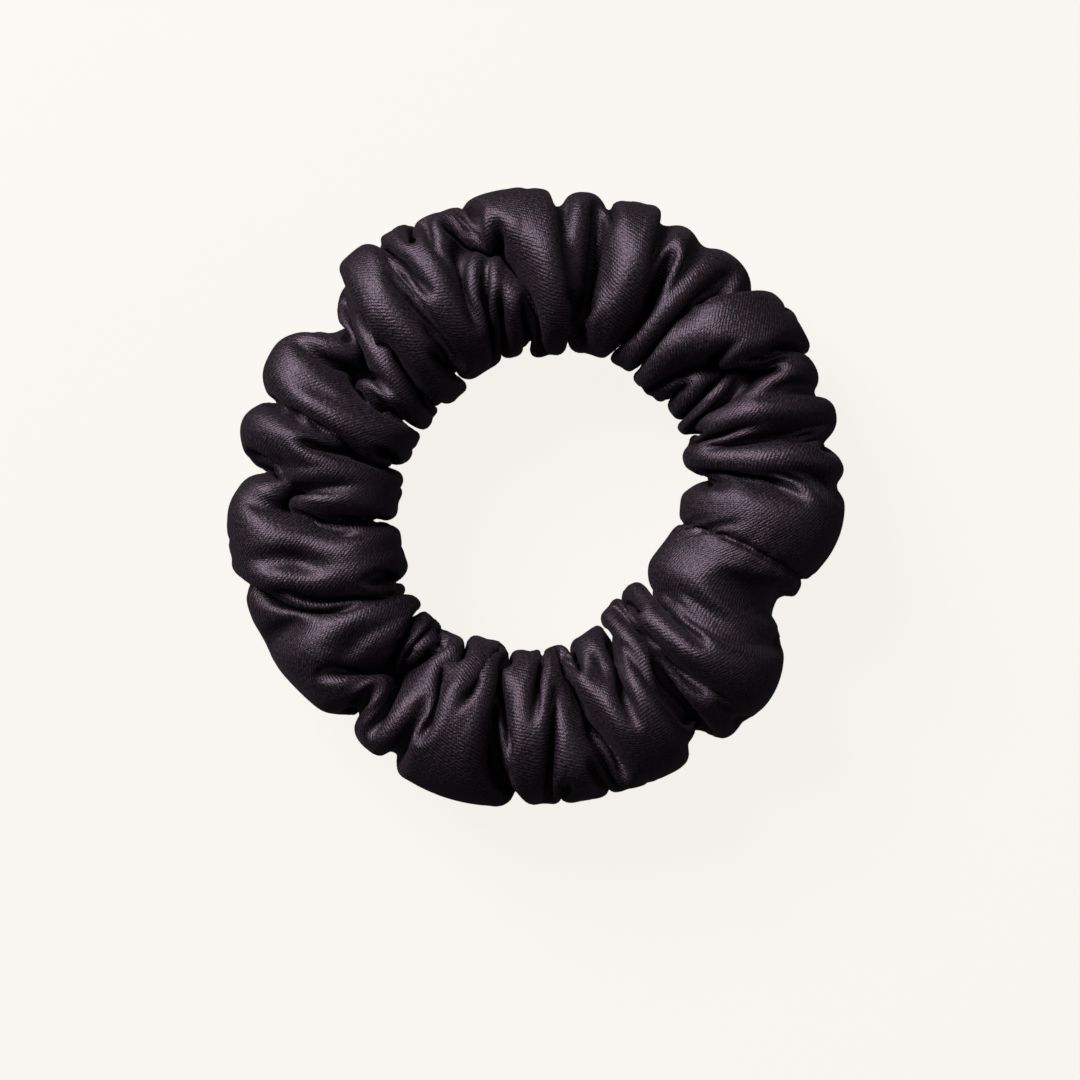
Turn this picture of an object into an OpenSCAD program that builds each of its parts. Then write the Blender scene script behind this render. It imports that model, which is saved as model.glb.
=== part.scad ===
// Satin scrunchie: a gathered cloth sleeve on a flat braided elastic loop.
// Units are millimetres. The ring lies flat: its axis is +Z, and its underside rests at z = 0.
// The right half slides along +X when the scrunchie is pulled open, so each long piece is made in two halves.

/* [Sleeve] */
// Radius of the circle that the middle of the sleeve follows
ring_r = 32.5; // [31.5:0.5:36]
// Radius of an average gather, from the middle of the sleeve
gather_r = 10.7; // [10.5:0.1:11.5]
// How much fuller or slacker than average a gather gets
gather_swing = 0.3; // [0:0.05:0.4]
// Number of gathers around the whole ring
gather_count = 24; // [22:2:32]
// Radius of the hollow inside the sleeve
hollow_r = 8.6; // [8.4:0.1:8.7]
// Thickness of the cloth under the hollow, where the sleeve rests
base_wall = 1; // [0.8:0.1:1.4]

/* [Elastic] */
// Width of the flat elastic, which stands upright
band_w = 6; // [5:0.5:6]
// Thickness of the flat elastic
band_t = 1; // [0.9:0.1:1.2]
// Number of rubber cores side by side in the elastic
core_count = 8; // [6:1:8]
// Radius of a rubber core
core_r = 0.25; // [0.2:0.01:0.27]
// Length over which the ends of the elastic overlap
lap_length = 12; // [8:1:14]
// Gap between the elastic and the cloth on its inner side
band_gap = 0.35; // [0.3:0.05:0.6]

/* [Seams] */
// Width of the two cloth edges turned in along the long seam
allowance = 3; // [2:0.5:3.5]
// Thickness of the two cloth edges together
allowance_t = 0.5; // [0.4:0.1:0.8]
// Angle of the long seam around the sleeve, below the outward direction
long_seam_angle = -35; // [-60:5:-25]
// Angle of the closing seam around the ring
closing_seam_angle = -14; // [-40:1:0]
// Radius of the sewing thread
thread_r = 0.12; // [0.1:0.01:0.15]
// Number of cross stitches that hold the elastic's overlap
join_stitches = 7; // [4:1:8]

/* [Hidden] */
$fn = 96;

LEFT = -1;
RIGHT = 1;
NEEDLE = 1;
BOBBIN = -1;

satin = [0.15, 0.12, 0.145];
yarn = [0.1, 0.1, 0.11];
rubber = [0.82, 0.78, 0.68];
thread = [0.12, 0.1, 0.12];

eps = 0.02;
reach = 2 * (ring_r + gather_r);              // larger than the ring in every direction
centre_z = hollow_r + base_wall;              // height of the middle of the sleeve
gather_step = 360 / gather_count;

// The elastic's inner face clears the hollow's wall at the corners of the band.
band_inner_r = ring_r - sqrt(pow(hollow_r, 2) - pow(band_w / 2, 2)) + band_gap;
band_r = band_inner_r + band_t / 2;
band_edge = band_t / 5;                       // chamfer of the band's corners
core_pitch = (band_w - band_t) / (core_count - 1);
lap_r = band_r + band_t + eps;                // the outer layer of the overlap
lap_angle = lap_length / lap_r * 180 / PI;
lap_centre = closing_seam_angle + lap_angle / 2 + 8;

seam_s = hollow_r - 0.3;                      // how far the stitches are from the middle of the sleeve
thread_side = allowance_t / 2 + thread_r + eps;
elastic_gap_angle = 30;                       // half of the arc that the closing seam leaves to the elastic
long_seam_gap_angle = 8;                      // half of the arc that it leaves to the long seam
closing_arcs = [
    [long_seam_angle + long_seam_gap_angle, 180 - elastic_gap_angle],
    [-180 + elastic_gap_angle, long_seam_angle - long_seam_gap_angle]
];

// Radius of the gather at an angle around the ring. The cosines put full and slack gathers in no plain
// order, and an even number of waves keeps the ring the same size on opposite sides.
function gather_radius(angle) = gather_r + gather_swing * (cos(6 * angle) + cos(10 * angle)) / 2;

// The space on one side of the plane x = 0.
module half_space(side) {
    translate([side * reach / 2, 0, 0])
        cube([reach, 2 * reach, 2 * reach], center = true);
}

// Turns the section drawn around the middle of the sleeve (x outwards, y up) into half a ring.
module half_ring(side) {
    rotate([0, 0, side == RIGHT ? -90 : 90])
        rotate_extrude(angle = 180)
            children();
}

// Moves a drawing from the middle of the sleeve's section to its place beside the ring's axis.
module at_sleeve() {
    translate([ring_r, centre_z]) children();
}

// Places what is drawn in the plane of the sleeve's section at an angle around the ring.
module across_sleeve(angle) {
    rotate([0, 0, angle])
        translate([ring_r, 0, centre_z])
            rotate([90, 0, 0])
                children();
}

// The gathers: overlapping balls on the ring, cut flat where they rest.
module gathers(side) {
    for (i = [0 : gather_count - 1])
        let (angle = (i + 0.5) * gather_step)
            if (side * cos(angle) * ring_r > -gather_r)
                rotate([0, 0, angle])
                    translate([ring_r, 0, centre_z])
                        sphere(gather_radius(angle));
}

// The round hollow that runs through half of the sleeve.
module hollow(side) {
    rotate([0, 0, side == RIGHT ? -95 : 85])
        rotate_extrude(angle = 190)
            at_sleeve() circle(hollow_r);
}

// The two cloth edges that the long seam turns in.
module long_allowance(side) {
    half_ring(side)
        at_sleeve()
            rotate(long_seam_angle)
                translate([hollow_r - allowance, -allowance_t / 2])
                    square([allowance + base_wall / 2, allowance_t]);
}

// The two cloth ends that the closing seam turns in.
module closing_allowance() {
    for (arc = closing_arcs)
        across_sleeve(closing_seam_angle)
            rotate([0, 0, arc[0]])
                rotate_extrude(angle = arc[1] - arc[0])
                    translate([hollow_r - allowance, -allowance_t / 2])
                        square([allowance + base_wall / 2, allowance_t]);
}

module satin_cover(side) {
    color(satin)
        union() {
            intersection() {
                difference() {
                    gathers(side);
                    hollow(side);
                    translate([0, 0, -reach / 2])
                        cube([2 * reach, 2 * reach, reach], center = true);
                }
                half_space(side);
            }
            long_allowance(side);
            if (side == RIGHT) closing_allowance();
        }
}

// Section of the flat elastic, with chamfered corners.
module band_section() {
    x = band_t / 2;
    y = band_w / 2;
    c = band_edge;
    polygon([
        [-x, -y + c], [-x + c, -y], [x - c, -y], [x, -y + c],
        [x, y - c], [x - c, y], [-x + c, y], [-x, y - c]
    ]);
}

// Sections of the rubber cores, or of the channels that they lie in.
module core_sections(radius) {
    for (i = [0 : core_count - 1])
        translate([0, (i - (core_count - 1) / 2) * core_pitch])
            circle(radius, $fn = 24);
}

// Sweeps an elastic section through half of the loop, and through the overlap on the right.
module elastic_half(side) {
    half_ring(side)
        translate([band_r, centre_z]) children();
    if (side == RIGHT)
        rotate([0, 0, lap_centre - lap_angle / 2])
            rotate_extrude(angle = lap_angle)
                translate([lap_r, centre_z]) children();
}

module elastic_braid(side) {
    color(yarn)
        elastic_half(side)
            difference() {
                band_section();
                core_sections(core_r + eps / 2);
            }
}

module elastic_cores(side) {
    color(rubber)
        elastic_half(side)
            core_sections(core_r);
}

// One thread of the long seam, on one face of the turned-in edges.
module long_seam_thread(side, face) {
    color(thread)
        half_ring(side)
            at_sleeve()
                rotate(long_seam_angle)
                    translate([seam_s, face * thread_side])
                        circle(thread_r, $fn = 16);
}

// One thread of the closing seam, on one face of the turned-in ends.
module closing_seam_thread(face) {
    color(thread)
        for (arc = closing_arcs)
            across_sleeve(closing_seam_angle)
                rotate([0, 0, arc[0]])
                    rotate_extrude(angle = arc[1] - arc[0])
                        translate([seam_s, face * thread_side])
                            circle(thread_r, $fn = 16);
}

// One thread of the cross stitches that hold the elastic's overlap.
module elastic_join_thread(face) {
    face_r = face == NEEDLE
        ? lap_r + band_t / 2 + thread_r + eps
        : band_inner_r - thread_r - eps;
    stitch_h = band_w - 4 * band_edge;
    stitch_angle = lap_angle * 0.8 / (join_stitches - 1);
    color(thread)
        for (i = [0 : join_stitches - 1])
            rotate([0, 0, lap_centre + (i - (join_stitches - 1) / 2) * stitch_angle])
                translate([face_r, 0, centre_z])
                    cylinder(h = stitch_h, r = thread_r, center = true, $fn = 16);
}

satin_cover(LEFT);  // satin_cover_left
satin_cover(RIGHT);  // satin_cover_right
elastic_braid(LEFT);  // elastic_braid_left
elastic_braid(RIGHT);  // elastic_braid_right
elastic_cores(LEFT);  // elastic_cores_left
elastic_cores(RIGHT);  // elastic_cores_right
long_seam_thread(LEFT, NEEDLE);  // long_seam_needle_thread_left
long_seam_thread(RIGHT, NEEDLE);  // long_seam_needle_thread_right
long_seam_thread(LEFT, BOBBIN);  // long_seam_bobbin_thread_left
long_seam_thread(RIGHT, BOBBIN);  // long_seam_bobbin_thread_right
closing_seam_thread(NEEDLE);  // closing_seam_needle_thread
closing_seam_thread(BOBBIN);  // closing_seam_bobbin_thread
elastic_join_thread(NEEDLE);  // elastic_join_needle_thread
elastic_join_thread(BOBBIN);  // elastic_join_bobbin_thread
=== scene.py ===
"""The looks of a satin scrunchie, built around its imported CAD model.

The sleeve is worked out as cloth: a tube of satin, longer than the ring it goes round, is gathered on the
elastic and let go. Lengths are millimetres until a mesh is made. A mesh is in metres, as the frame is.
"""

import math

import bpy
import numpy as np
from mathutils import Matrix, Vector


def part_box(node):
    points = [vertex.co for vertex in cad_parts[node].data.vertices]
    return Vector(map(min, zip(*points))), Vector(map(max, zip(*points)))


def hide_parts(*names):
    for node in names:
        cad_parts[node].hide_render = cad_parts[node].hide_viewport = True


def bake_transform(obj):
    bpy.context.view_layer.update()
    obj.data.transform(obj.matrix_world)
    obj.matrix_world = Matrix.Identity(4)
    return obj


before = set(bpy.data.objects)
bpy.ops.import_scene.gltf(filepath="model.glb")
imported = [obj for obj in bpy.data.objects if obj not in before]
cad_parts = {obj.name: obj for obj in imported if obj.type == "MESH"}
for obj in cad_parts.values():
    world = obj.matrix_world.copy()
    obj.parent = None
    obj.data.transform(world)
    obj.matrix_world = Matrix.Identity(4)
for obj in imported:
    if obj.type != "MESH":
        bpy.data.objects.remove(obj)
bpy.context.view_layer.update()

MM = 0.001
REAL = np.float32
TINY = REAL(1e-6)
TURN = 2 * math.pi


# ---------------------------------------------------------------------- sizes, from the CAD
def box_mm(node):
    return [np.array(corner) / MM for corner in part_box(node)]


sleeve_box = box_mm("satin_cover_left")
band_box = box_mm("elastic_braid_left")
MID_Z = (band_box[0][2] + band_box[1][2]) / 2
TUBE_R = sleeve_box[1][2] - MID_Z
RING_R = -sleeve_box[0][0] - TUBE_R
BAND_W = band_box[1][2] - band_box[0][2]
BAND_T = 1.0
BAND_R = -band_box[0][0] - BAND_T / 2
join_box = box_mm("elastic_join_needle_thread")
LAP_CENTRE = math.atan2(join_box[0][1] + join_box[1][1], join_box[0][0] + join_box[1][0])
LAP_LENGTH = 12.0
LAP_RISE = BAND_T + 0.05
LAP_WIDE = 20

# The cut of the cloth
TUBE_LENGTH = 360.0
TUBE_ROUND = 70.0
LONG_ALLOWANCE = 3.0
LONG_SEAM = -35

# The closing seam, then every crease, clockwise round the ring. Each has its angle at the ring's outer
# side, its angle at the inner side, how full the cloth is up to the next one, and how hard it is held in.
CREASES = [
    (-18, -8, 0.52, 0), (-30, -42, 1, 1), (-48, -50, 1, 0.4), (-56, -62, 1, 1), (-77, -81, 1, 0.8),
    (-94, -102, 1, 1), (-120, -117, 1, 1), (-132, -128, 0.9, 0.7), (-165, -147, 0.85, 1),
    (-185, -172, 1, 0.7), (-200, -192, 1, 1), (-222, -210, 1, 1), (-229, -222, 1, 0.5),
    (-239, -236, 1, 0.6), (-245, -256, 1, 0.7), (-256, -266, 1, 0.8), (-273, -280, 1, 1),
    (-283, -287, 1, 0.4), (-293, -300, 1, 1), (-303, -301, 1, 1), (-318, -304, 1, 1),
    (-331, -321, 1, 0.7), (-340, -330, 1, 0.7), (-349, -338, 1, 0.7), (-357, -350, 0.7, 1),
    (-378, -368, 1, 0),
]

# How far from the middle of the tube the cloth reaches at the ring's inner and outer side. The hole is a
# little longer one way than the other, and smaller beside the closing seam.
INNER_REACH = 11.6
OUTER_REACH = 10.4
HOLE_OVAL = 1.7
HOLE_OVAL_ANGLE = 50
SEAM_SIDE = (325, 26, 1.6)

# Where the ring's outer side stands out further, or is drawn in: the angle, how wide in degrees, and how far.
OUTER_SIDE = [
    (337, 12, -4.5), (303, 3, -2.5), (229, 3, -2), (206, 13, 1.3), (174, 5, -2), (160, 3, -2),
    (140, 5, -6), (62, 9, 1.5), (10, 3, -1.5),
]

# Pockets where the cloth is pressed in between folds: the angle, the distance from the ring's axis, the
# half width, the half length, how far it leans from straight outward in degrees, and how deep it is.
POCKETS = [
    (207, 38.5, 2.2, 4.5, 8, 3.5), (195, 33.5, 2, 3.8, -35, 4), (182, 35.5, 2, 4.2, -25, 3),
    (173, 37, 1.2, 3.2, 0, 3.5), (153, 32, 1.8, 5, 8, 3), (219, 33, 2.2, 4, 25, 2.5),
    (104, 36, 2.2, 5, 35, 2.5), (96, 31, 1.7, 4.4, 35, 3), (75, 33, 1.5, 4.4, 15, 3),
    (62, 35, 2, 3, 0, 2), (42, 26.5, 1.7, 1.8, 0, 3), (32, 26, 2, 1.6, 0, 2.5),
    (292, 25, 2.6, 2.6, 45, 3), (283, 34, 1.8, 5, 30, 3.5), (278, 28, 1.4, 3.4, 20, 2.5),
    (310, 36, 2.2, 6, 12, 3), (322, 22.5, 2, 2.6, 0, 3.5), (236, 30, 1.8, 3.2, 0, 3),
    (229, 28, 1.6, 3, -15, 2.5),
]


def crease_places():
    """How far along the tube each crease is, from 0 to 1."""
    outer, inner, fullness, _ = np.array(CREASES, float).T
    steps = -np.diff((outer + inner) / 2) * fullness[:-1]
    places = np.concatenate([[0], np.cumsum(steps)])
    return places / places[-1]


def start_angles(along, around):
    """Where each point of the tube starts round the ring. Creases lean from outer to inner angle."""
    outer, inner = np.radians(np.array(CREASES, float).T[:2])
    places = crease_places()
    share = (0.5 + 0.5 * np.cos(around))[None, :]
    at_outer = np.interp(along, places, outer)[:, None]
    at_inner = np.interp(along, places, inner)[:, None]
    return at_outer * share + at_inner * (1 - share)


def angle_from(angle, at):
    """How many degrees an angle, in radians, is past one in degrees."""
    return (np.degrees(angle) - at + 180) % 360 - 180


def bump(angle, at, wide):
    return np.exp(-((angle_from(angle, at) / wide) ** 2))


def ring_reach(angle):
    """How near and how far from the ring's axis the cloth goes at an angle round the ring."""
    seam_at, seam_wide, seam_drawn = SEAM_SIDE
    oval = HOLE_OVAL * np.cos(2 * (angle - math.radians(HOLE_OVAL_ANGLE)))
    near = RING_R - INNER_REACH + oval - seam_drawn * bump(angle, seam_at, seam_wide)
    far = RING_R + OUTER_REACH + sum(height * bump(angle, at, wide) for at, wide, height in OUTER_SIDE)
    return near, far


def pocket_depth(angle, distance):
    """How deep the pockets are at an angle round the ring and a distance from its axis."""
    deep = np.zeros_like(distance)
    for at, out, half_width, half_length, lean, depth in POCKETS:
        along = np.radians(angle_from(angle, at)) * distance
        across = distance - out
        cos, sin = math.cos(math.radians(lean)), math.sin(math.radians(lean))
        wide, long = along * cos - across * sin, along * sin + across * cos
        deep += depth * np.exp(-((wide / half_width) ** 2) - (long / half_length) ** 2)
    return deep


# ---------------------------------------------------------------------- cloth
def spring(points, along, around, rest, strength, push_only=False):
    """Moves each point and its neighbour towards the rest distance from each other."""
    gap = np.roll(points, (-along, -around), (0, 1)) - points
    size = np.sqrt(np.einsum("ijk,ijk->ij", gap, gap)) + TINY
    stretch = size - REAL(rest)
    if push_only:
        np.minimum(stretch, 0, out=stretch)
    gap *= (REAL(0.5) * strength * stretch / size)[..., None]
    return gap - np.roll(gap, (along, around), (0, 1))


class Contacts:
    """Keeps parts of the cloth that meet a thickness apart."""

    def __init__(self, shape, pitch, thickness):
        self.shape, self.pitch, self.thickness = shape, pitch, thickness
        self.reach = 1.8 * thickness
        self.first = self.second = np.zeros(0, int)

    def find(self, points):
        flat = points.reshape(-1, 3)
        cell = np.floor((flat - flat.min(0)) / self.reach).astype(np.int64) + 1
        columns, rows = int(cell[:, 1].max()) + 3, int(cell[:, 2].max()) + 3
        key = (cell[:, 0] * columns + cell[:, 1]) * rows + cell[:, 2]
        order = np.argsort(key, kind="stable")
        key, placed = key[order], flat[order]
        here = np.arange(len(key))
        firsts, seconds = [], []
        for dx, dy in ((0, 0), (0, 1), (1, -1), (1, 0), (1, 1)):
            shift = (dx * columns + dy) * rows
            stop = np.searchsorted(key, key + shift + 1, "right")
            begin = here + 1 if shift == 0 else np.searchsorted(key, key + shift - 1, "left")
            count = np.maximum(stop - begin, 0)
            first = np.repeat(here, count)
            second = np.arange(int(count.sum())) + np.repeat(begin - (np.cumsum(count) - count), count)
            gap = placed[first] - placed[second]
            near = np.einsum("ij,ij->i", gap, gap) < self.reach**2
            firsts.append(order[first[near]])
            seconds.append(order[second[near]])
        first, second = np.concatenate(firsts), np.concatenate(seconds)
        apart = self.cloth_distance(first, second) > 2 * self.thickness
        self.first, self.second = first[apart], second[apart]

    def cloth_distance(self, first, second):
        """How far two points are from each other along the cloth."""
        steps = [np.abs(first // self.shape[1] - second // self.shape[1])]
        steps.append(np.abs(first % self.shape[1] - second % self.shape[1]))
        sizes = [np.minimum(s, n - s) * p for s, n, p in zip(steps, self.shape, self.pitch)]
        return np.hypot(*sizes)

    def push(self, points):
        flat = points.reshape(-1, 3)
        gap = flat[self.second] - flat[self.first]
        square = np.einsum("ij,ij->i", gap, gap)
        near = square < self.thickness**2
        if not near.any():
            return
        first, second = self.first[near], self.second[near]
        size = np.sqrt(square[near]) + TINY
        gap = gap[near] * (0.5 * (size - self.thickness) / size)[:, None]
        total = len(flat)
        met = np.bincount(first, minlength=total) + np.bincount(second, minlength=total)
        share = np.sqrt(np.maximum(met, 1))
        for axis in range(3):
            move = np.bincount(first, gap[:, axis], total) - np.bincount(second, gap[:, axis], total)
            flat[:, axis] += (move / share).astype(REAL)


def resampled(points, places, axis):
    """Reads a grid that closes on itself at the places given, along one axis, on a smooth curve."""
    points = np.moveaxis(points, axis, 0)
    size = len(points)
    step = np.floor(places).astype(int)
    part = (places - step).astype(REAL)[:, None, None]
    a, b, c, d = (points[(step + k) % size] for k in (-1, 0, 1, 2))
    cubic = b + 0.5 * part * (c - a + part * (2 * a - 5 * b + 4 * c - d + part * (3 * (b - c) + d - a)))
    return np.ascontiguousarray(np.moveaxis(cubic, 0, axis)).astype(REAL)


def finer(points, rows, columns):
    points = resampled(points, np.arange(rows) * len(points) / rows, 0)
    return resampled(points, np.arange(columns) * points.shape[1] / columns, 1)


class Sleeve:
    """The tube of satin as a grid of points: rows go along the tube, and columns go round it."""

    # How the cloth moves in a step. FASTEST is a share of its thickness.
    SPEED_KEPT = 0.93
    FASTEST = 0.3
    WEIGHT = 0.0006
    LIMITS_EVERY = 20
    CONTACTS_EVERY = 12

    # How hard its springs pull
    SPRING_SHARE = 0.6
    STRETCH = 0.5
    SHEAR = 0.12
    ROUND_BEND = 0.5
    LONG_BEND = 0.6
    VALLEY_BEND = 0.4
    SEAM_BEND = 0.6
    SEAM_STIFF_WIDTH = 9.0
    SEAM_BEND_STEPS = 8

    # The creases, which hold less at the ring's outer side, and the lobes between them
    CREASE_HALF_WIDTH = 1.0
    CREASE_DEPTH = 2.3
    OUTER_LOOSE = 0.7
    LOBE_HEIGHT = 0.9
    LOBE_VARIATION = 0.7

    # How far it stays off the elastic, across and up, and off the floor
    BAND_CLEARANCE = (0.55, 0.45)
    FLOOR_CLEARANCE = 0.15

    def __init__(self, points, thickness, stiffness):
        self.points = points
        self.speed = np.zeros_like(points)
        self.rows, self.columns = points.shape[:2]
        self.pitch = TUBE_LENGTH / self.rows, TUBE_ROUND / self.columns
        self.stiffness = stiffness
        self.thickness = thickness
        self.contacts = Contacts(points.shape[:2], self.pitch, thickness)
        self.steps = 0
        along = np.arange(self.rows) / self.rows
        around = TURN * np.arange(self.columns) / self.columns + math.radians(LONG_SEAM)
        angle = start_angles(along, around)
        self.side_x, self.side_y = -np.sin(angle).astype(REAL), np.cos(angle).astype(REAL)
        self.crease, self.lobe = self.creases(along, around)
        from_seam = (along + self.SEAM_BEND_STEPS / 2 / self.rows + 0.5) % 1 - 0.5
        at_seam = np.exp(-((from_seam * TUBE_LENGTH / self.SEAM_STIFF_WIDTH) ** 2))
        self.seam_bend = (self.SEAM_BEND * at_seam)[:, None].astype(REAL)

    def creases(self, along, around):
        """How strongly each row is a crease, and how far its lobe may stand out."""
        places = crease_places()
        lobe = np.clip(np.searchsorted(places, along, "right") - 1, 0, len(places) - 2)
        before, after = along - places[lobe], places[lobe + 1] - along
        part = np.clip(before / (before + after), 0, 1)
        roundness = np.sqrt(np.sin(math.pi * part))
        off = np.minimum(before, after) * TUBE_LENGTH
        held = np.array(CREASES, float)[lobe + (after < before), 3]
        crease = held * np.exp(-((off / self.CREASE_HALF_WIDTH) ** 2))
        height = np.random.default_rng(11).uniform(-1, 1, len(places))[lobe] * self.LOBE_VARIATION
        reach = self.LOBE_HEIGHT * (roundness - 0.6) + height * roundness
        outer_side = 1 - self.OUTER_LOOSE * np.clip(np.cos(around), 0, 1)[None, :] ** 2
        return (crease[:, None] * outer_side).astype(REAL), reach[:, None].astype(REAL)

    def relax(self, steps, room, fullness, pressure, crease_pull, slide_pull):
        """Lets the cloth move. fullness is the share of the tube's length that is let out at each step."""
        for step in range(steps):
            if self.steps % self.LIMITS_EVERY == 0:
                self.find_limits()
            before = self.points.copy()
            self.points += self.speed
            self.points[..., 2] -= REAL(self.WEIGHT)
            normal = normals(self.points)
            self.points += REAL(self.SPRING_SHARE) * self.springs(fullness(step / steps), normal)
            self.points += REAL(pressure) * normal
            self.hold_creases(crease_pull(step / steps), slide_pull)
            if self.steps % self.CONTACTS_EVERY == 0:
                self.contacts.find(self.points)
            self.contacts.push(self.points)
            self.keep_off_band()
            self.draw_in(self.limit, REAL(room))
            np.maximum(self.points[..., 2], self.FLOOR_CLEARANCE, out=self.points[..., 2])
            speed = (self.points - before) * REAL(self.SPEED_KEPT)
            fastest = np.abs(speed).max(-1, keepdims=True) + TINY
            self.speed = speed * np.minimum(1, self.FASTEST * self.thickness / fastest).astype(REAL)
            self.steps += 1

    def springs(self, fullness, normal):
        long, round_ = self.pitch[0] * fullness, self.pitch[1]
        diagonal = math.hypot(long, round_)
        bend = REAL(self.stiffness)
        points = self.points
        return (
            spring(points, 1, 0, long, REAL(self.STRETCH))
            + spring(points, 0, 1, round_, REAL(self.STRETCH))
            + spring(points, 1, 1, diagonal, REAL(self.SHEAR))
            + spring(points, 1, -1, diagonal, REAL(self.SHEAR))
            + spring(points, 2, 0, 2 * long, bend * self.fold(normal, 1), True)
            + spring(points, 0, 2, 2 * round_, bend, True)
            + spring(points, 4, 0, 4 * long, REAL(self.LONG_BEND) * bend * self.fold(normal, 2), True)
            + spring(points, 0, 4, 4 * round_, REAL(self.ROUND_BEND) * bend, True)
            + spring(points, self.SEAM_BEND_STEPS, 0, self.SEAM_BEND_STEPS * long, self.seam_bend, True)
        )

    def fold(self, normal, reach):
        """How strongly the cloth resists bending: fully over the lobes, and less in the valleys."""
        chord = (np.roll(self.points, -2 * reach, 0) + self.points) * REAL(0.5)
        middle = np.roll(self.points, -reach, 0)
        over = np.einsum("ijk,ijk->ij", middle - chord, np.roll(normal, -reach, 0))
        return np.where(over > 0, REAL(1), REAL(self.VALLEY_BEND))

    def section(self):
        """Each point's distance from the ring's axis, and its height over the middle of the elastic."""
        distance = np.sqrt(self.points[..., 0] ** 2 + self.points[..., 1] ** 2)
        return distance, self.points[..., 2] - REAL(MID_Z)

    def move_in_section(self, distance, new_distance, new_height):
        self.points[..., :2] *= (new_distance / np.maximum(distance, TINY))[..., None]
        self.points[..., 2] = REAL(MID_Z) + new_height

    def hold_creases(self, pull, slide_pull):
        """Draws the creases in, and keeps the cloth from sliding along the elastic."""
        x, y = self.points[..., 0], self.points[..., 1]
        slid = (x * self.side_x + y * self.side_y) * (REAL(pull) * self.crease + REAL(slide_pull))
        x -= slid * self.side_x
        y -= slid * self.side_y
        self.draw_in(self.half_width - REAL(self.CREASE_DEPTH), REAL(pull) * self.crease)

    def find_limits(self):
        """How far the cloth reaches at each point, and where the elastic is double."""
        distance, height = self.section()
        angle = np.arctan2(self.points[..., 1], self.points[..., 0])
        near, far = ring_reach(angle)
        self.middle = ((near + far) / 2).astype(REAL)
        self.half_width = ((far - near) / 2).astype(REAL)
        pockets = np.where(height > 0, pocket_depth(angle, distance), 0)
        self.limit = self.half_width + self.lobe - pockets.astype(REAL)
        self.double = (bump(angle, math.degrees(LAP_CENTRE), LAP_WIDE) * LAP_RISE / 2).astype(REAL)

    def keep_off_band(self):
        distance, height = self.section()
        out = distance - REAL(BAND_R) - self.double
        half_t = REAL(BAND_T / 2 + self.BAND_CLEARANCE[0]) + self.double
        half_w = REAL(BAND_W / 2 + self.BAND_CLEARANCE[1])
        depth = np.sqrt((out / half_t) ** 2 + (height / half_w) ** 2)
        grow = np.where(depth < 1, 1 / np.maximum(depth, REAL(0.05)), REAL(1))
        self.move_in_section(distance, REAL(BAND_R) + self.double + out * grow, height * grow)

    def draw_in(self, reach, strength):
        """Draws the cloth back where it stands further from the middle of the tube than its reach."""
        distance, height = self.section()
        out = distance - self.middle
        radius = np.sqrt(out**2 + height**2) + TINY
        draw = np.maximum(radius - reach, 0) * strength / radius
        self.move_in_section(distance, distance - out * draw, height * (1 - draw))


def normals(points):
    """The outward direction at each point of the tube."""
    along = np.roll(points, -1, 0) - np.roll(points, 1, 0)
    around = np.roll(points, -1, 1) - np.roll(points, 1, 1)
    out = np.cross(around, along)
    return (out / (np.linalg.norm(out, axis=-1, keepdims=True) + TINY)).astype(REAL)


START_GAP = 0.2
START_CREASE = 2.4
START_CREASE_WIDTH = 2.2
UNEVEN_WAVES = range(20, 70)
UNEVEN_HEIGHT = 0.06


def first_shape(rows, columns):
    """A tube on the ring with shallow creases and a little unevenness, before the cloth is let out."""
    random = np.random.default_rng(3)
    along = np.arange(rows) / rows
    around = TURN * np.arange(columns) / columns + math.radians(LONG_SEAM)
    angle = start_angles(along, around)
    off = np.abs(along[:, None] - crease_places()[None, 1:-1]).min(1) * TUBE_LENGTH
    uneven = np.zeros_like(angle)
    for wave in UNEVEN_WAVES:
        lag, side_lag, _ = random.normal(size=3)
        uneven += UNEVEN_HEIGHT * np.cos(wave * angle + 6 * lag + 1.2 * np.sin(around + 3 * side_lag))
    radius = TUBE_R - START_GAP - START_CREASE * np.exp(-((off / START_CREASE_WIDTH) ** 2))[:, None]
    radius = radius + uneven * (0.7 - 0.4 * np.cos(around))
    distance = RING_R + radius * np.cos(around)
    shape = [distance * np.cos(angle), distance * np.sin(angle), MID_Z + radius * np.sin(around)]
    return np.stack(shape, -1).astype(REAL)


COARSE_GRID = 320, 56
FINE_GRID = 640, 104


def gathered_sleeve():
    """The gathered tube, as a fine grid of points."""
    ring_share = 1.05 * TURN * RING_R / TUBE_LENGTH
    coarse = Sleeve(first_shape(*COARSE_GRID), thickness=0.95, stiffness=0.6)
    coarse.relax(
        900,
        room=0.12,
        fullness=lambda done: ring_share + (1 - ring_share) * min(1, done / 0.7),
        pressure=0.005,
        crease_pull=lambda done: 0.07 if done < 0.75 else 0.03,
        slide_pull=0.004,
    )
    fine = Sleeve(finer(coarse.points, *FINE_GRID), thickness=0.62, stiffness=0.3)
    fine.relax(
        300,
        room=0.03,
        fullness=lambda done: 1,
        pressure=0.003,
        crease_pull=lambda done: 0.02,
        slide_pull=0.002,
    )
    return fine.points


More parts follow.
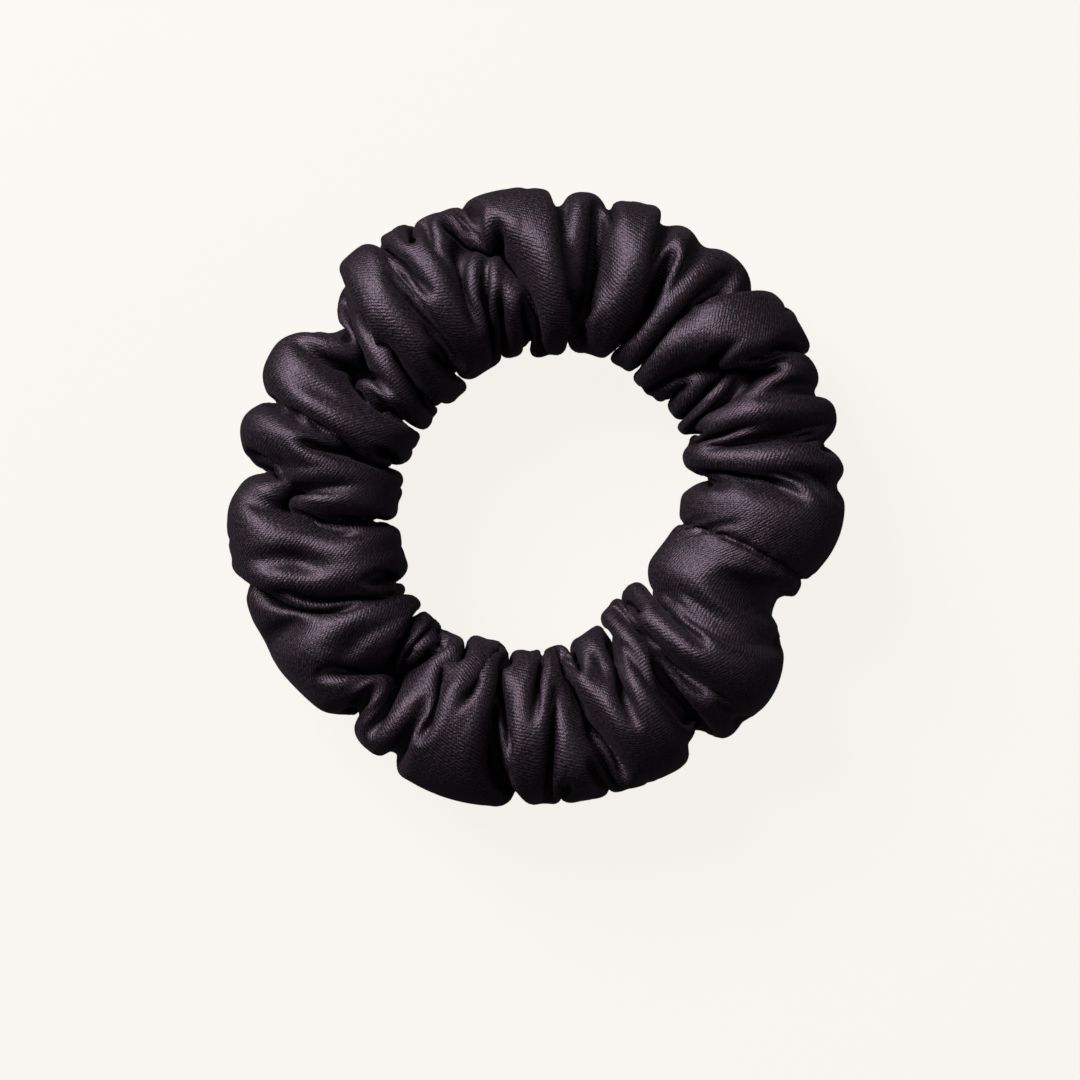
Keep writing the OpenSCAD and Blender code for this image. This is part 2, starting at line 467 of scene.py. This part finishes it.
# ---------------------------------------------------------------------- meshes
def grid_mesh(name, grids, closed, fabric=()):
    """One mesh from grids of points in millimetres. closed says, for each grid, whether it joins up along
    and around. fabric holds, for each grid, the places of its lines on the flat cloth."""
    faces, places, offset = [], [], 0
    for number, (grid, (closed_along, closed_around)) in enumerate(zip(grids, closed)):
        rows, columns = grid.shape[:2]
        lines = np.arange(rows - (not closed_along)), np.arange(columns - (not closed_around))
        row, column = np.meshgrid(*lines, indexing="ij")
        loop = ((row, column), (row, column + 1), (row + 1, column + 1), (row + 1, column))
        quads = np.stack([(r % rows) * columns + c % columns for r, c in loop], -1).reshape(-1, 4)
        faces += (quads + offset).tolist()
        if fabric:
            along, around = fabric[number]
            corners = [np.stack([along[r], around[c]], -1) for r, c in loop]
            places.append(np.stack(corners, 2).reshape(-1, 2))
        if closed_around and not closed_along:
            faces.append((np.arange(columns)[::-1] + offset).tolist())
            faces.append((np.arange(columns) + offset + (rows - 1) * columns).tolist())
            places.append(np.zeros((2 * columns, 2)))
        offset += rows * columns
    mesh = bpy.data.meshes.new(name)
    mesh.from_pydata((np.concatenate([grid.reshape(-1, 3) for grid in grids]) * MM).tolist(), [], faces)
    if fabric:
        layer = mesh.uv_layers.new(name="fabric")
        layer.data.foreach_set("uv", (np.concatenate(places) * MM).astype(REAL).ravel())
    mesh.polygons.foreach_set("use_smooth", [True] * len(mesh.polygons))
    piece = bpy.data.objects.new(name, mesh)
    bpy.context.collection.objects.link(piece)
    return piece


def unit(vectors):
    return vectors / (np.linalg.norm(vectors, axis=-1, keepdims=True) + TINY)


def tube(path, side, radius, sides=6, closed=False):
    """A round thread along a path. side points away from the path at each point."""
    if closed:
        direction = unit(np.roll(path, -1, 0) - np.roll(path, 1, 0))
    else:
        direction = unit(np.gradient(path, axis=0))
    across = unit(np.cross(direction, side))
    side = np.cross(across, direction)
    turn = TURN * np.arange(sides)[None, :, None] / sides
    return path[:, None] + radius * (np.cos(turn) * side[:, None] + np.sin(turn) * across[:, None])


def seam_places(count, length, extra, width):
    """Places from 0 to length, closer together beside the seam at both ends."""
    fine = np.linspace(0, length, 4000)
    density = 1 + extra * np.exp(-((np.minimum(fine, length - fine) / width) ** 2))
    total = np.concatenate([[0], np.cumsum((density[1:] + density[:-1]) / 2)])
    return np.interp(np.linspace(0, total[-1], count + 1), total, fine)


def smoothed(line, spread):
    """A closed line of points, smoothed over about that many points."""
    wave = np.fft.fftfreq(len(line))[:, None]
    return np.fft.ifft(np.fft.fft(line, axis=0) * np.exp(-2 * (math.pi * wave * spread) ** 2), axis=0).real


# ---------------------------------------------------------------------- the sleeve
ROWS, COLUMNS = 816, 108
SEAM_DENSITY = 2
SEAM_DENSE_WIDTH = 1.5
FLAP_STEPS = 4
END_ROWS = 12
LAYER_GAP = 0.12

# How far each seam pulls the cloth in, and over what width. Its stitches pucker the cloth on both sides.
CLOSING_GROOVE = 0.9
CLOSING_GROOVE_WIDTH = 0.45
LONG_GROOVE = 0.6
LONG_GROOVE_WIDTH = 0.5
PUCKER = 0.14
PUCKER_WIDTH = 2.2
CLOSING_PUCKER_PITCH = 3.1
LONG_PUCKER_PITCH = 2.9

row_places = seam_places(ROWS, TUBE_LENGTH, SEAM_DENSITY, SEAM_DENSE_WIDTH)
column_places = seam_places(COLUMNS, TUBE_ROUND, SEAM_DENSITY, SEAM_DENSE_WIDTH)


def sewn(points):
    """Pulls the cloth in along the two seams, with the small puckers that stitches give."""
    from_closing = np.minimum(row_places[:-1], TUBE_LENGTH - row_places[:-1])[:, None]
    from_long = np.minimum(column_places[:-1], TUBE_ROUND - column_places[:-1])[None, :]
    pull = CLOSING_GROOVE * np.exp(-from_closing / CLOSING_GROOVE_WIDTH)
    pull = pull + LONG_GROOVE * np.exp(-from_long / LONG_GROOVE_WIDTH)
    wave = np.cos(TURN * column_places[None, :-1] / CLOSING_PUCKER_PITCH)
    pull = pull + PUCKER * np.exp(-from_closing / PUCKER_WIDTH) * wave
    wave = np.cos(TURN * row_places[:-1, None] / LONG_PUCKER_PITCH)
    pull = pull + PUCKER * np.exp(-from_long / PUCKER_WIDTH) * wave
    points = points - normals(points) * pull[..., None].astype(REAL)
    np.maximum(points[..., 2], Sleeve.FLOOR_CLEARANCE, out=points[..., 2])
    return points


def to_middle(line):
    """The direction from each point to the middle of the tube."""
    middle = line.copy()
    middle[:, :2] *= RING_R / np.linalg.norm(line[:, :2], axis=1, keepdims=True)
    middle[:, 2] = MID_Z
    return unit(middle - line)


def turned_in(seam, depth):
    """Where a cloth edge turned in along the long seam lies, at a depth inside the tube."""
    calm = smoothed(seam, 16)
    share = min(1, depth / LONG_ALLOWANCE)
    return seam * (1 - share) + calm * share + depth * to_middle(calm)


def sleeve_piece(points):
    seam = points[:, 0]
    around = unit(np.roll(points, -1, 1) - np.roll(points, 1, 1))[:, 0]
    depths = LONG_ALLOWANCE * np.arange(1, FLAP_STEPS + 1) / FLAP_STEPS
    flaps = [turned_in(seam, depth) for depth in depths]
    before = np.stack([flap - LAYER_GAP * around for flap in flaps[::-1]], 1)
    after = np.stack([flap + LAYER_GAP * around for flap in flaps], 1)
    wall = np.concatenate([before, points, seam[:, None], after], 1)
    wall_around = np.concatenate([-depths[::-1], column_places, TUBE_ROUND + depths])

    inside = points - normals(points) * REAL(3 * LAYER_GAP)
    ends = np.concatenate([inside[-END_ROWS:], inside[:END_ROWS + 1]])
    end_along = np.concatenate([row_places[-END_ROWS - 1:-1] - TUBE_LENGTH, row_places[:END_ROWS + 1]])
    ends = np.concatenate([ends, ends[:, :1]], 1)

    fabric = [(row_places, wall_around), (end_along, column_places)]
    piece = grid_mesh("satin_sleeve", [wall, ends], [(True, False), (False, False)], fabric)
    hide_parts("satin_cover_left", "satin_cover_right")
    return piece


# ---------------------------------------------------------------------- the elastic
CORES = 8
CORE_R = 0.25
CORE_STEPS = 140
BRAID_STEPS = 520
BRAID_SIDES = 56
PLAITS = 10
BRAID_RELIEF = 0.07


def band_line(count):
    """The middle line of the elastic, once round and over its own start, as angles, radii and lengths."""
    lap = LAP_LENGTH / (BAND_R + LAP_RISE)
    angle = np.linspace(LAP_CENTRE - lap / 2, LAP_CENTRE + lap / 2 + TURN, count)
    climb = np.clip((angle - (angle[0] + TURN - 0.35)) / 0.33, 0, 1)
    radius = BAND_R + LAP_RISE * climb**2 * (3 - 2 * climb)
    return angle, radius, (angle - angle[0]) * BAND_R


def on_band(angle, radius, out, up):
    distance = radius + out
    return np.stack([distance * np.cos(angle), distance * np.sin(angle), MID_Z + up + 0 * distance], -1)


def braided_elastic():
    """A flat braid: two families of yarns that cross, laid on the band's rounded section."""
    angle, radius, length = band_line(BRAID_STEPS)
    turn = np.linspace(0, TURN, 600)
    section = [np.sign(f(turn)) * np.abs(f(turn)) ** 0.5 for f in (np.cos, np.sin)]
    section = np.stack([section[0] * BAND_T / 2, section[1] * BAND_W / 2], -1)
    walked = np.concatenate([[0], np.cumsum(np.linalg.norm(np.diff(section, axis=0), axis=1))])
    place = np.linspace(0, walked[-1], BRAID_SIDES + 1)[:-1]
    out, up = (np.interp(place, walked, section[:, k]) for k in (0, 1))
    lift = [np.sin(TURN * PLAITS * (length[:, None] + s * place[None, :]) / walked[-1]) for s in (-1, 1)]
    relief = 1 - BRAID_RELIEF * (1 - np.maximum(*lift)) * 2 * BAND_T / (BAND_T + np.abs(up))[None, :]
    out, up = out[None, :] * relief, up[None, :] * (0.5 + 0.5 * relief)
    grid = on_band(angle[:, None], radius[:, None], out, up)
    fabric = [(length, np.append(place, walked[-1]))]
    piece = grid_mesh("braided_elastic", [grid], [(False, True)], fabric)
    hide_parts("elastic_braid_left", "elastic_braid_right")
    return piece


def rubber_cores():
    angle, radius, _ = band_line(CORE_STEPS)
    pitch = (BAND_W - BAND_T) / (CORES - 1)
    side = np.stack([np.cos(angle), np.sin(angle), 0 * angle], -1)
    lines = [on_band(angle, radius, 0, pitch * (k - (CORES - 1) / 2)) for k in range(CORES)]
    threads = [tube(line, side, CORE_R, 8) for line in lines]
    piece = grid_mesh("rubber_cores", threads, [(False, True)] * CORES)
    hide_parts("elastic_cores_left", "elastic_cores_right")
    return piece


# ---------------------------------------------------------------------- the threads
THREAD_R = 0.12
THREAD_STEP = 0.3
STITCH = 2.5
SEAM_DEPTH = 0.4
CLOSING_SEAM_DEPTH = 0.3
JOIN_CROSSINGS = 7
JOIN_STEPS = 24


def evenly(line, step):
    """A closed line read at even distances."""
    line = np.concatenate([line, line[:1]])
    walked = np.concatenate([[0], np.cumsum(np.linalg.norm(np.diff(line, axis=0), axis=1))])
    places = np.linspace(0, walked[-1], max(8, int(walked[-1] / step)) + 1)[:-1]
    return np.stack([np.interp(places, walked, line[:, k]) for k in range(3)], -1)


def lockstitch(name, line, side, away):
    """One thread of a lockstitch: it lies on one side of the cloth and dips at each hole."""
    count = max(1, round(len(line) * THREAD_STEP / STITCH))
    lie = np.abs(np.sin(math.pi * count * np.arange(len(line)) / len(line))) ** 0.6
    path = line + away * side * (THREAD_R + (2 * THREAD_R * lie)[:, None])
    return grid_mesh(name, [tube(path, side, THREAD_R, closed=True)], [(True, True)])


def seam_threads(seam, line, across):
    """The needle and the bobbin thread of a seam that runs all the way round."""
    even = evenly(line, THREAD_STEP)
    near = np.linspace(0, len(across), len(even), endpoint=False).astype(int)
    side = unit(smoothed(across[near], 4))
    pieces = []
    for thread, away in (("needle", 1), ("bobbin", -1)):
        piece = lockstitch(f"{seam}_{thread}_stitches", even, side, away)
        halves = [f"{seam}_{thread}_thread{half}" for half in ("", "_left", "_right")]
        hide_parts(*[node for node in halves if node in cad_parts])
        pieces.append(piece)
    return pieces


def join_threads():
    """The zigzag that holds the overlap of the elastic, seen from outside and from inside."""
    lap = LAP_LENGTH / (BAND_R + LAP_RISE)
    step = np.linspace(0, 2 * JOIN_CROSSINGS, JOIN_STEPS * JOIN_CROSSINGS + 1)
    angle = LAP_CENTRE + lap * 0.42 * (step / JOIN_CROSSINGS - 1)
    up = 0.36 * BAND_W * (2 * np.abs(step % 2 - 1) - 1)
    lie = np.abs(np.sin(math.pi * step)) ** 0.5
    pieces = []
    outside, inside = BAND_R + LAP_RISE + BAND_T / 2, BAND_R - BAND_T / 2
    for thread, face, away in (("needle", outside, 1), ("bobbin", inside, -1)):
        path = on_band(angle, face, away * (THREAD_R * (1.6 * lie - 0.8)), up)
        side = np.stack([np.cos(angle), np.sin(angle), 0 * angle], -1)
        piece = grid_mesh(f"elastic_join_{thread}_stitches", [tube(path, side, THREAD_R)], [(False, True)])
        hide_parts(f"elastic_join_{thread}_thread")
        pieces.append(piece)
    return pieces


# ---------------------------------------------------------------------- materials
def material(name, roughness, specular=0.5, sheen=0.0, sheen_tint=(1, 1, 1)):
    made = bpy.data.materials.new(name)
    made.use_nodes = True
    shader = made.node_tree.nodes["Principled BSDF"]
    shader.inputs["Roughness"].default_value = roughness
    shader.inputs["Specular IOR Level"].default_value = specular
    shader.inputs["Sheen Weight"].default_value = sheen
    shader.inputs["Sheen Tint"].default_value = (*sheen_tint, 1)
    return made, shader


class Nodes:
    """Short names for the nodes that the materials use."""

    def __init__(self, made):
        self.tree = made.node_tree

    def add(self, kind, inputs=None, **settings):
        node = self.tree.nodes.new(kind)
        for key, value in settings.items():
            setattr(node, key, value)
        for key, value in (inputs or {}).items():
            if isinstance(value, bpy.types.NodeSocket):
                self.tree.links.new(value, node.inputs[key])
            else:
                node.inputs[key].default_value = value
        return node

    def fabric(self, turn=0.0, stretch=(1, 1, 1)):
        """The place on the flat cloth, in millimetres, turned and stretched."""
        cloth = self.add("ShaderNodeUVMap", uv_map="fabric").outputs["UV"]
        scale = tuple(k / MM for k in stretch)
        inputs = {"Vector": cloth, "Rotation": (0, 0, math.radians(turn)), "Scale": scale}
        return self.add("ShaderNodeMapping", inputs).outputs["Vector"]

    def math(self, operation, first, second=0.0, third=0.0):
        inputs = {0: first, 1: second, 2: third}
        return self.add("ShaderNodeMath", inputs, operation=operation).outputs[0]

    def noise(self, vector, scale, detail=2.0, roughness=0.5):
        inputs = {"Vector": vector, "Scale": scale, "Detail": detail, "Roughness": roughness}
        return self.add("ShaderNodeTexNoise", inputs).outputs["Fac"]

    def lines(self, vector, pitch, wander=0.0, across="X"):
        """Parallel lines, pitch millimetres apart."""
        inputs = {"Vector": vector, "Scale": TURN / (20 * pitch), "Distortion": wander}
        inputs.update({"Detail": 2, "Detail Scale": 1.5})
        return self.add("ShaderNodeTexWave", inputs, bands_direction=across).outputs["Fac"]

    def ramp(self, value, *stops):
        node = self.add("ShaderNodeValToRGB", {"Fac": value})
        for number, (place, colour) in enumerate(stops):
            stop = node.color_ramp.elements[number] if number < 2 else node.color_ramp.elements.new(place)
            stop.position, stop.color = place, (*colour, 1)
        return node.outputs["Color"]

    def bump(self, height, depth, strength=1.0):
        """depth in millimetres."""
        inputs = {"Height": height, "Distance": depth * MM, "Strength": strength}
        return self.add("ShaderNodeBump", inputs).outputs["Normal"]

    def link(self, value, socket):
        self.tree.links.new(value, socket)


def satin():
    """Satin: fine floats along the tube that catch the light, tied down in slanting rows of small dots."""
    made, shader = material("satin", 0.5, specular=0.56, sheen=0.03, sheen_tint=(0.8, 0.6, 0.78))
    shader.inputs["Specular Tint"].default_value = (1, 0.74, 0.96, 1)
    shader.inputs["Sheen Roughness"].default_value = 0.4
    nodes = Nodes(made)
    rows = nodes.lines(nodes.fabric(turn=-28), 0.4, 2.6, across="Y")
    ties = nodes.lines(nodes.fabric(turn=12), 0.29, 3.0)
    grain = nodes.noise(nodes.fabric(stretch=(1.9, 2.9, 1)), 1.0, 3, 0.62)
    uneven = nodes.noise(nodes.fabric(), 0.35, 3)
    dots = nodes.math("MULTIPLY_ADD", rows, 0.7, nodes.math("MULTIPLY", ties, 0.3))
    weave = nodes.math("MULTIPLY_ADD", dots, 0.36, nodes.math("MULTIPLY", grain, 1.2))
    dark, mid, light = (0.0004, 0.0003, 0.0005), (0.002, 0.0014, 0.002), (0.03, 0.0205, 0.029)
    colour = nodes.ramp(weave, (0.45, dark), (0.72, mid), (1.0, light))
    nodes.link(colour, shader.inputs["Base Color"])
    rough = nodes.math("MULTIPLY_ADD", grain, 0.2, nodes.math("MULTIPLY_ADD", uneven, 0.1, 0.3))
    nodes.link(rough, shader.inputs["Roughness"])
    nodes.link(nodes.bump(weave, 0.135, 0.9), shader.inputs["Normal"])
    return made


def yarn():
    """Dull crimped polyester yarn of the braid, with its own fine filaments."""
    made, shader = material("elastic_yarn", 0.75, specular=0.3, sheen=0.2)
    nodes = Nodes(made)
    filaments = nodes.noise(nodes.fabric(turn=40, stretch=(1, 6, 1)), 2.0, 3)
    colour = nodes.ramp(filaments, (0.3, (0.006, 0.006, 0.007)), (0.7, (0.028, 0.027, 0.03)))
    nodes.link(colour, shader.inputs["Base Color"])
    nodes.link(nodes.bump(filaments, 0.05, 0.6), shader.inputs["Normal"])
    return made


def rubber():
    """Natural latex, pale and a little dusty with talc."""
    made, shader = material("rubber", 0.62, specular=0.4)
    nodes = Nodes(made)
    place = nodes.add("ShaderNodeTexCoord").outputs["Object"]
    dust = nodes.noise(place, 1400, 4, 0.6)
    colour = nodes.ramp(dust, (0.35, (0.5, 0.43, 0.31)), (0.7, (0.7, 0.65, 0.54)))
    nodes.link(colour, shader.inputs["Base Color"])
    nodes.link(nodes.bump(dust, 0.02, 0.4), shader.inputs["Normal"])
    return made


def thread():
    """Twisted sewing thread."""
    made, shader = material("thread", 0.55, specular=0.45, sheen=0.2)
    nodes = Nodes(made)
    place = nodes.add("ShaderNodeTexCoord").outputs["Object"]
    twist = nodes.noise(place, 4200, 2, 0.7)
    colour = nodes.ramp(twist, (0.35, (0.008, 0.006, 0.008)), (0.65, (0.036, 0.028, 0.035)))
    nodes.link(colour, shader.inputs["Base Color"])
    nodes.link(nodes.bump(twist, 0.05, 0.6), shader.inputs["Normal"])
    return made


# ---------------------------------------------------------------------- the pieces
def finish_piece(piece, look):
    """Gives a piece its material."""
    piece.data.materials.append(look)
    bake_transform(piece)


points = resampled(gathered_sleeve(), row_places[:-1] / TUBE_LENGTH * FINE_GRID[0], 0)
points = resampled(points, column_places[:-1] / TUBE_ROUND * FINE_GRID[1], 1)
out = normals(points)
points = sewn(points)
sleeve = sleeve_piece(points)
braid = braided_elastic()
cores = rubber_cores()
around_seam = unit(np.roll(points, -1, 1) - np.roll(points, 1, 1))[:, 0]
along_seam = unit(np.roll(points, -1, 0) - np.roll(points, 1, 0))[0]
threads = seam_threads("long_seam", turned_in(points[:, 0], SEAM_DEPTH), around_seam)
threads += seam_threads("closing_seam", points[0] - CLOSING_SEAM_DEPTH * out[0], along_seam)
threads += join_threads()

finish_piece(sleeve, satin())
finish_piece(braid, yarn())
finish_piece(cores, rubber())
thread_look = thread()
for piece in threads:
    finish_piece(piece, thread_look)


# ---------------------------------------------------------------------- the studio
def floor():
    half = 3.0
    corners = [(-half, -half, 0), (half, -half, 0), (half, half, 0), (-half, half, 0)]
    mesh = bpy.data.meshes.new("floor")
    mesh.from_pydata(corners, [], [(0, 1, 2, 3)])
    ground = bpy.data.objects.new("floor", mesh)
    bpy.context.collection.objects.link(ground)
    look, shader = material("floor", 0.8, specular=0.1)
    shader.inputs["Base Color"].default_value = (0.05, 0.049, 0.047, 1)
    shader.inputs["Emission Color"].default_value = (0.94, 0.905, 0.863, 1)
    shader.inputs["Emission Strength"].default_value = 0.955
    mesh.materials.append(look)
    ground.visible_diffuse = ground.visible_glossy = False


def softbox(place, size, power, colour=(1, 1, 1)):
    light = bpy.data.lights.new("softbox", "AREA")
    light.shape, light.size, light.energy, light.color = "SQUARE", size, power, colour
    lamp = bpy.data.objects.new("softbox", light)
    lamp.location = place
    lamp.rotation_euler = Vector(place).to_track_quat("Z", "Y").to_euler()
    bpy.context.collection.objects.link(lamp)


def studio():
    floor()
    softbox((-0.46, 0.5, 0.5), 0.4, 12.0)
    softbox((0.5, 0.1, 0.5), 0.6, 0.5)
    world = bpy.data.worlds.new("world")
    world.use_nodes = True
    back = world.node_tree.nodes["Background"]
    back.inputs["Color"].default_value = (0.97, 0.97, 1, 1)
    back.inputs["Strength"].default_value = 0.035
    bpy.context.scene.world = world
    bpy.context.scene.view_settings.view_transform = "Standard"


def camera():
    """Straight above the ring, which sits a little above the middle of the frame."""
    frame_width, frame_middle = 0.1506, -0.0057
    seen = bpy.data.cameras.new("camera")
    seen.lens, seen.sensor_width = 85, 36
    holder = bpy.data.objects.new("camera", seen)
    holder.location = (0, frame_middle, MID_Z * MM + frame_width * seen.lens / seen.sensor_width)
    bpy.context.collection.objects.link(holder)
    bpy.context.scene.camera = holder


studio()
camera()
